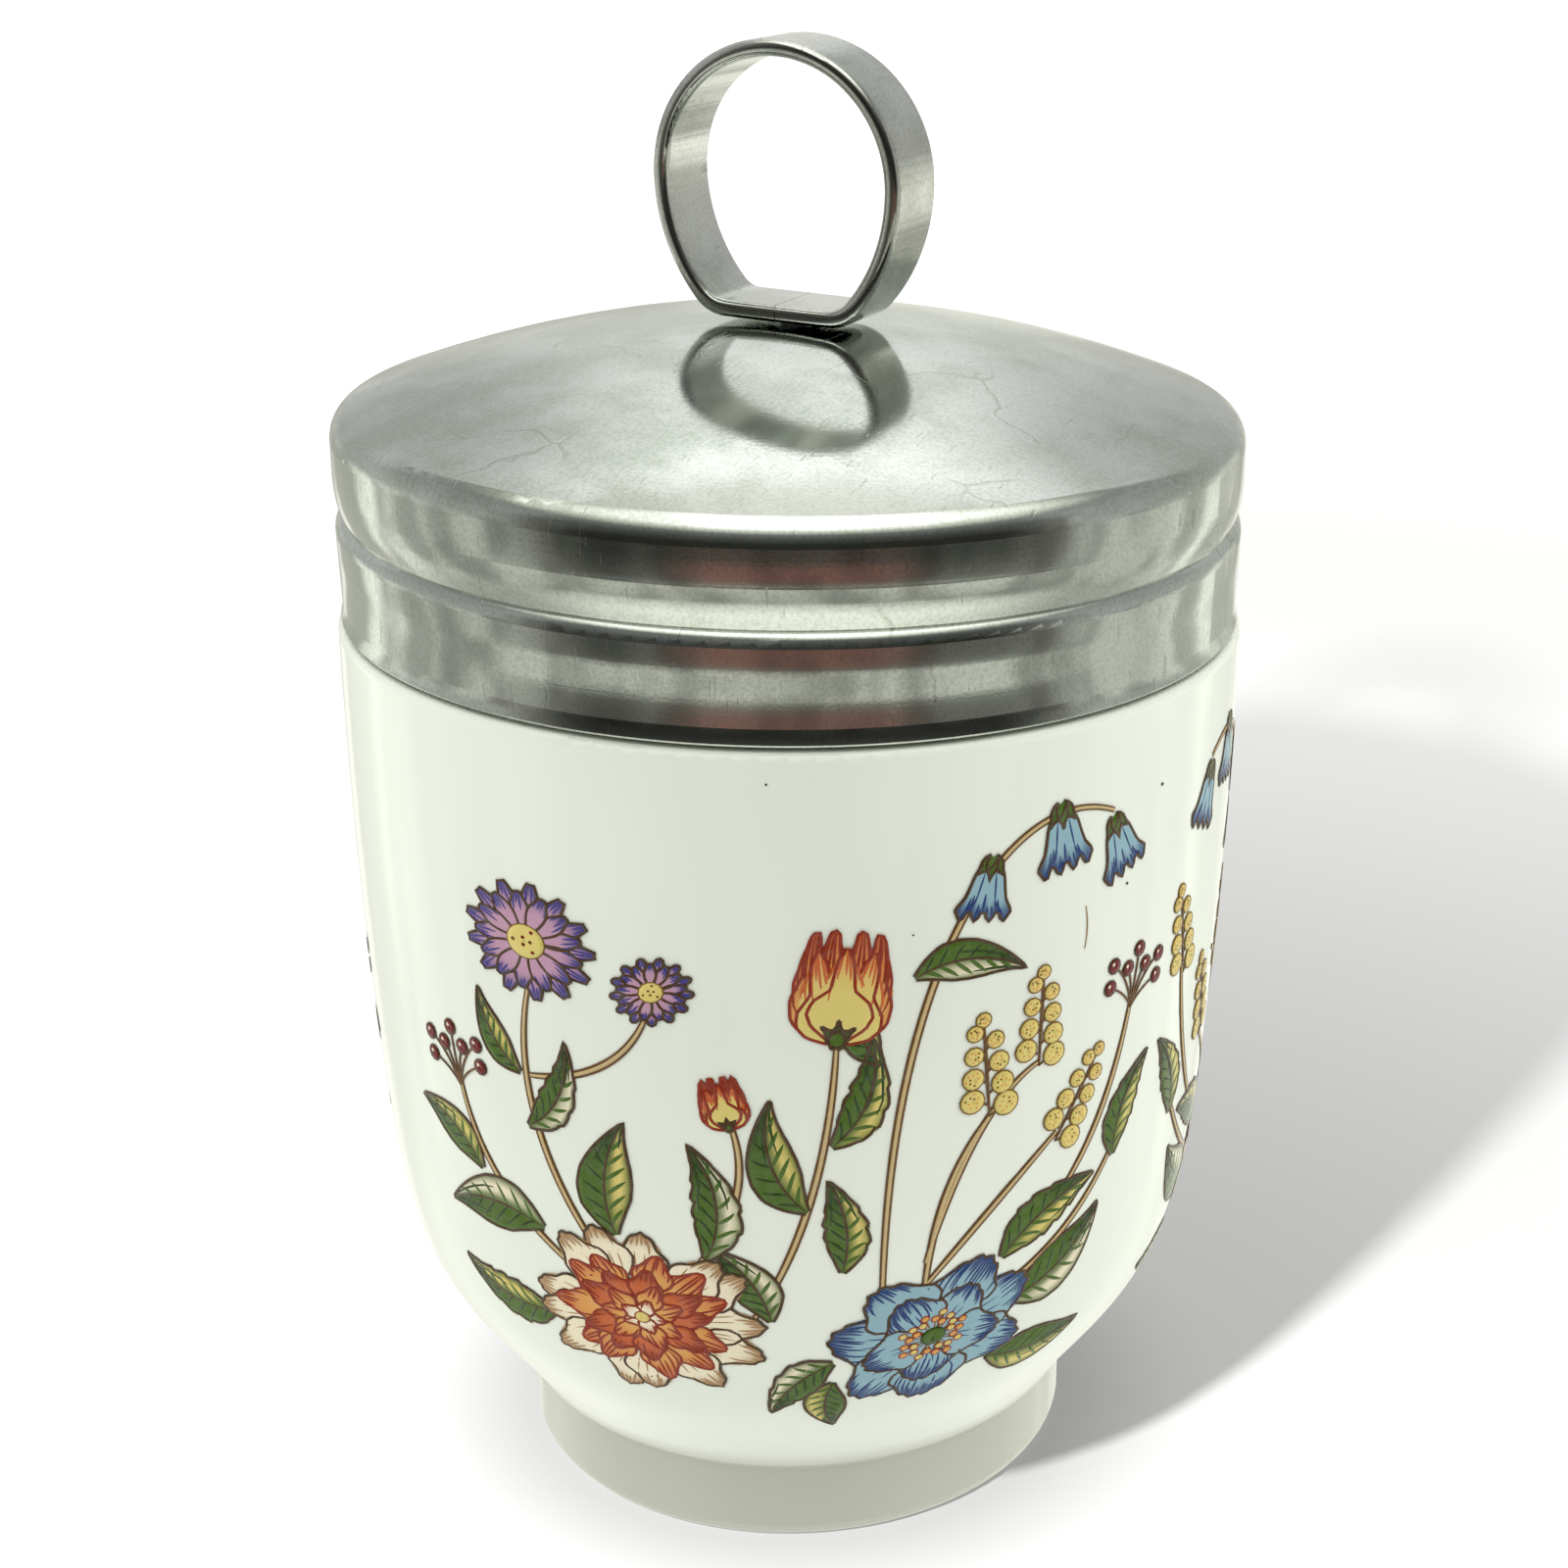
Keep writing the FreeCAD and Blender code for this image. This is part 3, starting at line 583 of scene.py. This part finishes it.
def print_spray(name, plan):
    """Lays one spray of the print as three pieces: its foliage, its large blooms and its small blooms."""
    middle, way = VIEW_START + plan["middle"], plan["way"]
    foliage, large, small = Transfer(), Transfer(), Transfer()
    for points in plan["stems"]:
        stem(foliage, middle, [(way * aside, up) for aside, up in points])
    for k, (aside, up, angle, length, width, bend) in enumerate(plan["leaves"]):
        start, level = middle + way * aside, 3 + 3 * (k % 2)
        heading = angle if way > 0 else 180 - angle
        leaf(foliage, start, up, heading, length, width, way * bend / length, level, k)
    sheets = {dahlia: large, poppy: large, daisy: small, tulip: small, bell: small, mimosa: small}
    for bloom, sheet in sheets.items():
        for aside, up, size, turn in plan[bloom.__name__]:
            bloom(sheet, middle + way * aside, up, size, way * turn)
    for aside, up, turn in plan["berries"]:
        berries(small, middle + way * aside, up, way * turn)
    for part, sheet in (("foliage", foliage), ("large_blooms", large), ("small_blooms", small)):
        sheet.piece(f"{name}_{part}", enamel)


for name, plan in SPRAYS.items():
    print_spray(name, plan)

HAIR_ASIDE, HAIR_UP = 20.4, 43.5
SPECKS = ((24.2, 47.2, 0.1), (27.6, 53.4, 0.12), (-2.0, 57.8, 0.07), (7.4, 47.1, 0.06))

kiln_dust = Transfer()
kiln_dust.stand(VIEW_START + HAIR_ASIDE, HAIR_UP)
kiln_dust.stroke(bowed([(0, 0), (0.3, 1.6), (-0.1, 3.2)]), 0.07, BUFF, 0, 0.3)
for aside, up, radius in SPECKS:
    kiln_dust.disc(aside - HAIR_ASIDE, up - HAIR_UP, radius, SEPIA, 0)
kiln_dust.piece("kiln_dust", enamel)


# The lid is pressed from one disc of stainless sheet into a low dome with a rounded
# shoulder and a grooved skirt. Years of wiping have dulled it to a satin, with fine rings
# from its polishing on a lathe, hairline scratches and a few brown water marks.

STEEL = (0.67, 0.70, 0.665)
WATER_MARK = (0.24, 0.19, 0.06)
WORN_SHARE = (0.64, 0.66, 0.61)
WEAR_DEPTH = 0.02 * MM
SHOULDER = (78 * MM, 81 * MM)
# The skirt's soft rolls: the heights in mm between which it leans in, and how far.
ROLLS = ((63.5, 70.2, 0.42), (71.0, 74.2, 0.19), (76.9, 80.9, 0.24))
# Sizes of the marks, as counts to a metre of steel.
TURNING_LINES = 5200.0
GRAINS = 4200.0
CLOUDS = 90.0
BENDS = 150.0
GOUGES = 95.0
GOUGED_PLACES = 70.0
DROPS = 62.0
SCRATCH_LENGTH = 420.0
# Scratches run three ways, each with its turn in radians and its count across.
SCRATCHES = ((0.4, 5200), (1.9, 4600), (2.9, 6000))


def steel_wear_group():
    """Turning lines, scratches, grains, dull clouds and water marks, as values that change over steel."""
    group = bpy.data.node_groups.new("steel wear", "ShaderNodeTree")
    face = group.interface
    for name in ("Lines", "Scratches", "Pits"):
        face.new_socket(name, in_out="INPUT", socket_type="NodeSocketFloat")
    for name in ("Height", "Dulling", "Shade", "Stain"):
        face.new_socket(name, in_out="OUTPUT", socket_type="NodeSocketFloat")
    given = group.nodes.new("NodeGroupInput")
    result = group.nodes.new("NodeGroupOutput")
    where = put(group, "TexCoord").outputs["Object"]
    flat = put(group, "VectorMath", {0: where, 1: (1, 1, 0)}, operation="MULTIPLY").outputs[0]
    reach = put(group, "VectorMath", {0: flat}, operation="LENGTH").outputs["Value"]
    heading = put(group, "VectorMath", {0: flat}, operation="NORMALIZE").outputs[0]
    turned = put(group, "SeparateXYZ", {0: heading})
    height = put(group, "SeparateXYZ", {0: where}).outputs["Z"]
    rings = put(group, "CombineXYZ")
    group.links.new(sums(group, "MULTIPLY", turned.outputs["X"], 1.6), rings.inputs["X"])
    group.links.new(sums(group, "MULTIPLY", turned.outputs["Y"], 1.6), rings.inputs["Y"])
    across = sums(group, "MULTIPLY", sums(group, "SUBTRACT", reach, height), TURNING_LINES)
    group.links.new(across, rings.inputs["Z"])
    lines = put(group, "TexNoise", {"Vector": rings.outputs[0], "Scale": 1.0, "Detail": 3.0})
    marks = 0.0
    for turn, width in SCRATCHES:
        stretch = (width, SCRATCH_LENGTH, SCRATCH_LENGTH)
        mapped = put(group, "Mapping", {"Vector": where, "Rotation": (0.3, 0.2, turn), "Scale": stretch})
        hair = put(group, "TexNoise", {"Vector": mapped.outputs[0], "Scale": 1.0, "Detail": 0.0})
        marks = sums(group, "MAXIMUM", fade(group, hair.outputs["Fac"], 0.8, 0.85), marks)
    specks = put(group, "TexNoise", {"Vector": where, "Scale": GRAINS, "Detail": 3.0})
    grains = fade(group, specks.outputs["Fac"], 0.35, 0.75)
    clouds = put(group, "TexNoise", {"Vector": where, "Scale": CLOUDS, "Detail": 4.0, "Roughness": 0.6})
    on_dome = fade(group, height, *SHOULDER, 0.4, 1.0)
    cloudy = sums(group, "MULTIPLY", fade(group, clouds.outputs["Fac"], 0.38, 0.64), on_dome)
    bent = put(group, "TexNoise", {"Vector": where, "Scale": BENDS, "Detail": 2.0}).outputs["Color"]
    bending = put(group, "VectorMath", {0: bent, 1: (6 * MM,) * 3, 2: where}, operation="MULTIPLY_ADD")
    wander = bending.outputs[0]
    edges = put(group, "TexVoronoi", {"Vector": wander, "Scale": GOUGES}, feature="DISTANCE_TO_EDGE")
    gouge = fade(group, edges.outputs["Distance"], 0.006, 0.014, 1.0, 0.0)
    few = put(group, "TexNoise", {"Vector": where, "Scale": GOUGED_PLACES, "Detail": 0.0}).outputs["Fac"]
    gouge = sums(group, "MULTIPLY", gouge, fade(group, few, 0.6, 0.66))
    marks = sums(group, "MAXIMUM", gouge, marks)
    level = sums(group, "MULTIPLY", lines.outputs["Fac"], given.outputs["Lines"])
    cut = sums(group, "MULTIPLY", given.outputs["Scratches"], -1.0)
    level = sums(group, "MULTIPLY_ADD", marks, cut, level)
    pitted = sums(group, "MULTIPLY", given.outputs["Pits"], 0.25)
    level = sums(group, "MULTIPLY_ADD", grains, pitted, level)
    group.links.new(level, result.inputs["Height"])
    dull = sums(group, "MULTIPLY", cloudy, 0.6)
    dull = sums(group, "MULTIPLY_ADD", grains, 0.4, dull)
    group.links.new(dull, result.inputs["Dulling"])
    shade = sums(group, "MULTIPLY_ADD", grains, 0.5, sums(group, "MULTIPLY", cloudy, 0.7))
    shade = sums(group, "MULTIPLY_ADD", marks, 0.5, shade)
    group.links.new(shade, result.inputs["Shade"])
    drops = put(group, "TexVoronoi", {"Vector": wander, "Scale": DROPS, "Randomness": 1.0})
    chosen = put(group, "SeparateColor", {0: drops.outputs["Color"]}).outputs[0]
    spot = fade(group, drops.outputs["Distance"], 0.03, 0.07, 1.0, 0.0)
    spot = sums(group, "MULTIPLY", spot, fade(group, chosen, 0.8, 0.82))
    group.links.new(spot, result.inputs["Stain"])
    return group


steel_wear = steel_wear_group()


def steel_finish(name, colour, clean, dulled, lines, scratches, pits, stains=0.0, rolls=()):
    """A steel finish: its colour, its roughness when clean and when dulled, its marks and its rolls."""
    material, tree, surface = finish_of(name)
    wear = put(tree, "Group", {"Lines": lines, "Scratches": scratches, "Pits": pits}, node_tree=steel_wear)
    worn = [part * share for part, share in zip(colour, WORN_SHARE)]
    stained = tint(tree, wear.outputs["Shade"], colour, worn)
    stained = tint(tree, sums(tree, "MULTIPLY", wear.outputs["Stain"], stains), stained, WATER_MARK)
    tree.links.new(stained, surface.inputs["Base Color"])
    rough = sums(tree, "MULTIPLY_ADD", wear.outputs["Dulling"], dulled - clean, clean)
    tree.links.new(rough, surface.inputs["Roughness"])
    bump = put(tree, "Bump", {"Height": wear.outputs["Height"], "Strength": 0.25, "Distance": WEAR_DEPTH})
    if rolls:
        height = put(tree, "SeparateXYZ", {0: put(tree, "TexCoord").outputs["Object"]}).outputs["Z"]
        profile = 0.0
        for low, high, lean in rolls:
            profile = sums(tree, "ADD", profile, fade(tree, height, low * MM, high * MM, 0.0, -lean * MM))
        roll = put(tree, "Bump", {"Height": profile, "Strength": 1.0, "Distance": 1.0})
        tree.links.new(roll.outputs[0], bump.inputs["Normal"])
    tree.links.new(bump.outputs[0], surface.inputs["Normal"])
    surface.inputs["Metallic"].default_value = 1.0
    return material


satin = steel_finish(
    "satin steel", STEEL, clean=0.07, dulled=0.17, lines=0.3, scratches=0.8, pits=0.5, stains=0.75,
    rolls=ROLLS,
)
for name in ("lid_shell", "thread_band", "ring_weld"):
    wear_it(nodes[name], satin)


# The lifting ring is a strip of half-hard steel bent into a loop with a flat base, its
# cut ends butted in the middle of the base and spot-welded to the top of the dome. The
# strip keeps a brighter polish than the lid, and handling has rounded its narrow edges.

POLISHED = (0.66, 0.67, 0.645)
STRIP_THICK = 1.2 * MM
LOOP_RADIUS = 9.45 * MM
SIDE_RADIUS = 13.0 * MM
CORNER_RADIUS = 2.0 * MM
EDGE_WEAR = 0.25 * MM


def round_the_edges(material):
    """Crowns the strip's narrow edges by a bump, from how far inside the loop's outline a point lies.

    Above its middle the loop is a half circle. Below, its sides are flatter arcs and its base is flat.
    """
    tree = material.node_tree
    low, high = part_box("lifting_ring")
    place = put(tree, "SeparateXYZ", {0: put(tree, "TexCoord").outputs["Object"]})
    across = sums(tree, "ABSOLUTE", place.outputs["X"])
    up = sums(tree, "SUBTRACT", place.outputs["Z"], high[2] - LOOP_RADIUS)
    above = sums(tree, "GREATER_THAN", up, 0.0)
    shift = sums(tree, "MULTIPLY_ADD", above, LOOP_RADIUS - SIDE_RADIUS, SIDE_RADIUS - LOOP_RADIUS)
    spot = put(tree, "CombineXYZ", {0: sums(tree, "ADD", across, shift), 1: up})
    reach = put(tree, "VectorMath", {0: spot.outputs[0]}, operation="LENGTH").outputs["Value"]
    outside = sums(tree, "SUBTRACT", sums(tree, "SUBTRACT", reach, shift), LOOP_RADIUS)
    under = sums(tree, "SUBTRACT", low[2], place.outputs["Z"])
    outside = sums(tree, "SMOOTH_MAX", outside, under, CORNER_RADIUS)
    middle = sums(tree, "MULTIPLY_ADD", outside, 2 / STRIP_THICK, 1.0)
    crown = sums(tree, "MULTIPLY", sums(tree, "MULTIPLY", middle, middle), -EDGE_WEAR)
    bump = tree.nodes["Bump"]
    rounding = put(tree, "Bump", {"Height": crown, "Strength": 1.0, "Distance": 1.0})
    tree.links.new(rounding.outputs[0], bump.inputs["Normal"])


bright = steel_finish(
    "polished steel", POLISHED, clean=0.06, dulled=0.13, lines=0.5, scratches=0.5, pits=0.3
)
round_the_edges(bright)
wear_it(nodes["lifting_ring"], bright)


# The table is a white board in a pale room. A window to the left of the camera, made
# by a small lamp that lights only the board, draws the soft shadow on it. The board also
# glows with painted light, least near the cup, so that its shadow darkens towards the foot,
# and its colour is greyer round the foot as a painted contact shadow. The room is
# darkest behind the camera: steel shows that as black bands, and the cup is greyer there.

TOWARD = Vector((math.sin(VIEW_TURN), -math.cos(VIEW_TURN), 0))
SIDEWAYS = Vector((math.cos(VIEW_TURN), math.sin(VIEW_TURN), 0))
BOARD_WIDTH = 40.0
# Each of these three gives two distances from the cup's axis and then the values there.
FOOT_SHADE = (18 * MM, 36 * MM, 0.19, 0.3)
NEAR_PAINTED_GLOW = (20 * MM, 200 * MM, 0.17, 0.45)
FAR_PAINTED_GLOW = (180 * MM, 700 * MM, 0.0, 0.6)
BRICK = (0.11, 0.052, 0.042)
WALL_BLUE = 0.91
MIRRORED_STRENGTH = 2.0
PLAIN_STRENGTH = 1.68
BACKDROP_STRENGTH = 1.2
# In millimetres, before the turn by VIEW_TURN.
WINDOW_PLACE = (-101.5, -198.0, 219.5)
WINDOW_RADIUS = 9 * MM
WINDOW_WATTS = 11.4


def board_finish():
    """Matt white, greyer round the foot as painted shadow, with painted light that grows out to meet the
    backdrop.
    """
    material, tree, surface = finish_of("white board")
    where = put(tree, "TexCoord").outputs["Object"]
    spread = put(tree, "VectorMath", {0: where}, operation="LENGTH").outputs["Value"]
    # Painted contact shadow: the board's colour is greyer round the foot.
    shade = fade(tree, spread, *FOOT_SHADE)
    white = put(tree, "CombineColor", {0: shade, 1: shade, 2: shade}).outputs[0]
    tree.links.new(white, surface.inputs["Base Color"])
    # Painted light: the board glows, least near the cup, so that its shadow darkens towards the foot.
    painted_glow = sums(tree, "ADD", fade(tree, spread, *NEAR_PAINTED_GLOW), fade(tree, spread, *FAR_PAINTED_GLOW))
    tree.links.new(painted_glow, surface.inputs["Emission Strength"])
    surface.inputs["Emission Color"].default_value = (1, 1, 1, 1)
    surface.inputs["Roughness"].default_value = 0.9
    surface.inputs["Specular IOR Level"].default_value = 0.0
    return material


def by_height(tree, height, stops):
    """A colour for each height above the horizon, from a list of degrees and colours."""
    ramp = put(tree, "ValToRGB", {"Fac": sums(tree, "MULTIPLY_ADD", height, 1 / math.pi, 0.5)})
    band = ramp.color_ramp
    while len(band.elements) < len(stops):
        band.elements.new(0.5)
    for element, (degrees, colour) in zip(band.elements, stops):
        element.position = degrees / 180 + 0.5
        element.color = (*colour, 1)
    return ramp.outputs["Color"]


def grey(level, warmth=0.1):
    """A grey of that brightness, with a touch more green and less blue by its warmth."""
    return (level, level * 1.01, level * (1 - warmth))


def overlap(tree, first, *others):
    """The share that several shares have in common, as their product."""
    for other in others:
        first = sums(tree, "MULTIPLY", first, other)
    return first


def mirrored_room(tree, heading, height, nearness):
    """The room as steel and glaze mirror it: dark towards the camera over a brick-red rug and a pale floor,
    with a bright ceiling, pale walls to the sides and some clutter below the horizon. Height is in radians,
    and nearness goes from 1 towards the camera to -1 away from it."""
    near_side = by_height(tree, height, [
        (-90, grey(0.68)), (-43, grey(0.66)), (-35, grey(0.46)), (-30, grey(0.2)), (-23, grey(0.27)),
        (-18.6, grey(0.29)), (-16.8, grey(0.08)), (-8, grey(0.04)), (-4, grey(0.015)), (12, grey(0.018)),
        (30, grey(0.05, 0.02)), (45, grey(0.12, 0.02)), (57, grey(0.55)), (66, grey(1.0, 0.02)),
        (90, grey(0.95, 0.02)),
    ])
    far_side = by_height(tree, height, [
        (-90, grey(0.55)), (-30, grey(0.42)), (-5, grey(0.36)), (20, grey(0.47, 0.01)),
        (42, grey(0.7, 0.01)), (60, grey(0.92, 0.01)), (66, grey(0.6, 0.01)), (70, grey(0.85, 0.01)),
        (76, grey(1.05, 0.01)), (90, grey(1.05, 0.01)),
    ])
    aside = put(tree, "VectorMath", {0: heading, 1: SIDEWAYS}, operation="DOT_PRODUCT").outputs["Value"]
    aside = sums(tree, "ABSOLUTE", aside)
    rug = overlap(
        tree, fade(tree, height, -0.31, -0.24), fade(tree, height, -0.1, -0.16),
        fade(tree, aside, 0.3, 0.6, 0.85, 0.0),
    )
    seen = tint(tree, rug, near_side, BRICK)
    walls = fade(tree, nearness, -0.05, -0.8, 0.26, 0.56)
    warmed = sums(tree, "MULTIPLY", walls, WALL_BLUE)
    walls = put(tree, "CombineColor", {0: walls, 1: walls, 2: warmed}).outputs[0]
    beside = overlap(tree, fade(tree, nearness, 0.65, 0.05), fade(tree, height, 0.1, 0.7, 1.0, 0.0))
    seen = tint(tree, beside, seen, walls)
    seen = tint(tree, fade(tree, nearness, -0.66, -0.54, 1.0, 0.0), seen, far_side)
    flank = overlap(
        tree, fade(tree, aside, 0.08, 0.3), fade(tree, height, -0.12, 0.12),
        fade(tree, height, 0.6, 1.0, 0.8, 0.0), fade(tree, nearness, 0.1, 0.4, 1.0, 0.0),
    )
    seen = tint(tree, flank, seen, grey(0.24, 0.0))
    stretched = put(tree, "VectorMath", {0: heading, 1: (2.2, 2.2, 0.7)}, operation="MULTIPLY").outputs[0]
    clutter = put(tree, "TexNoise", {"Vector": stretched, "Scale": 2.0, "Detail": 2.0}).outputs["Fac"]
    low = overlap(tree, fade(tree, height, -0.1, 0.15, 1.0, 0.0), fade(tree, height, -0.66, -0.48))
    change = sums(tree, "MULTIPLY_ADD", fade(tree, clutter, 0.38, 0.62, -0.3, 0.32), low, 1.0)
    return put(tree, "VectorMath", {0: seen, "Scale": change}, operation="SCALE").outputs[0]


def plain_room(tree, height, nearness):
    """The room as it lights dull faces: even, but dimmer behind the camera and straight across from it."""
    steep = fade(tree, sums(tree, "ABSOLUTE", height), 0.3, 0.9, 0.2, 0.72)
    loss = sums(tree, "SUBTRACT", steep, 1.0)
    gloom = sums(tree, "MULTIPLY_ADD", fade(tree, nearness, 0.0, 0.85), loss, 1.0)
    light = sums(tree, "MULTIPLY", gloom, fade(tree, nearness, -0.95, 0.1, 0.5, 1.0))
    return tint(tree, light, grey(0.0), grey(1.0, 0.03))


bpy.ops.mesh.primitive_plane_add(size=BOARD_WIDTH)
table = bpy.context.object
table.name = "table"
wear_it(table, board_finish())
table.visible_glossy = False
table.visible_diffuse = False

room = bpy.data.worlds.new("room")
bpy.context.scene.world = room
room.use_nodes = True
room.cycles.sampling_method = "NONE"
tree = room.node_tree
tree.nodes.clear()
heading = put(tree, "TexCoord").outputs["Generated"]
height = sums(tree, "ARCSINE", put(tree, "SeparateXYZ", {0: heading}).outputs["Z"])
nearness = put(tree, "VectorMath", {0: heading, 1: TOWARD}, operation="DOT_PRODUCT").outputs["Value"]
seen = mirrored_room(tree, heading, height, nearness)
mirrored = put(tree, "Background", {"Color": seen, "Strength": MIRRORED_STRENGTH})
shown = put(tree, "Background", {"Color": plain_room(tree, height, nearness), "Strength": PLAIN_STRENGTH})
backdrop = put(tree, "Background", {"Color": (1, 1, 1, 1), "Strength": BACKDROP_STRENGTH})
path = put(tree, "LightPath")
for ray, instead in (("Is Glossy Ray", mirrored), ("Is Camera Ray", backdrop)):
    shown = put(tree, "MixShader", {0: path.outputs[ray], 1: shown.outputs[0], 2: instead.outputs[0]})
put(tree, "OutputWorld", {"Surface": shown.outputs[0]})

light = bpy.data.lights.new("window", "POINT")
light.energy = WINDOW_WATTS
light.shadow_soft_size = WINDOW_RADIUS
window = bpy.data.objects.new("window", light)
bpy.context.scene.collection.objects.link(window)
window.location = Matrix.Rotation(VIEW_TURN, 3, "Z") @ Vector(WINDOW_PLACE) * MM
board_only = bpy.data.collections.new("board only")
board_only.objects.link(table)
window.light_linking.receiver_collection = board_only


# The camera stands a hand's length in front of the lid, a little above it, and looks
# down past it. Its lens is shifted aside, so that the lens's own middle lies right of
# the middle of the frame.

# In millimetres, before the turn by VIEW_TURN.
CAMERA_PLACE = (0.058, -190.0, 124.97)
CAMERA_YAW = 0.0976
CAMERA_PITCH = 0.366
CAMERA_ROLL = -0.0297
FOCAL_PIXELS = 2779.66
FRAME_PIXELS = 1600
MIDDLE_X = 1067.7
SENSOR_WIDTH = 36
NEAREST = 10 * MM

eye = bpy.data.cameras.new("camera")
camera = bpy.data.objects.new("camera", eye)
bpy.context.scene.collection.objects.link(camera)
bpy.context.scene.camera = camera
ahead = Vector((
    math.sin(CAMERA_YAW) * math.cos(CAMERA_PITCH),
    math.cos(CAMERA_YAW) * math.cos(CAMERA_PITCH),
    -math.sin(CAMERA_PITCH),
))
right = Vector((math.cos(CAMERA_YAW), -math.sin(CAMERA_YAW), 0))
down = -right.cross(ahead)
tilted_right = math.cos(CAMERA_ROLL) * right + math.sin(CAMERA_ROLL) * down
tilted_down = -math.sin(CAMERA_ROLL) * right + math.cos(CAMERA_ROLL) * down
turn = Matrix.Rotation(VIEW_TURN, 3, "Z")
axes = Matrix((turn @ tilted_right, turn @ -tilted_down, turn @ -ahead)).transposed()
camera.matrix_world = Matrix.LocRotScale(turn @ Vector(CAMERA_PLACE) * MM, axes.to_quaternion(), None)
eye.sensor_width = SENSOR_WIDTH
eye.lens = FOCAL_PIXELS / FRAME_PIXELS * SENSOR_WIDTH
eye.shift_x = (FRAME_PIXELS / 2 - MIDDLE_X) / FRAME_PIXELS
eye.clip_start = NEAREST
bpy.context.scene.view_settings.view_transform = "Standard"
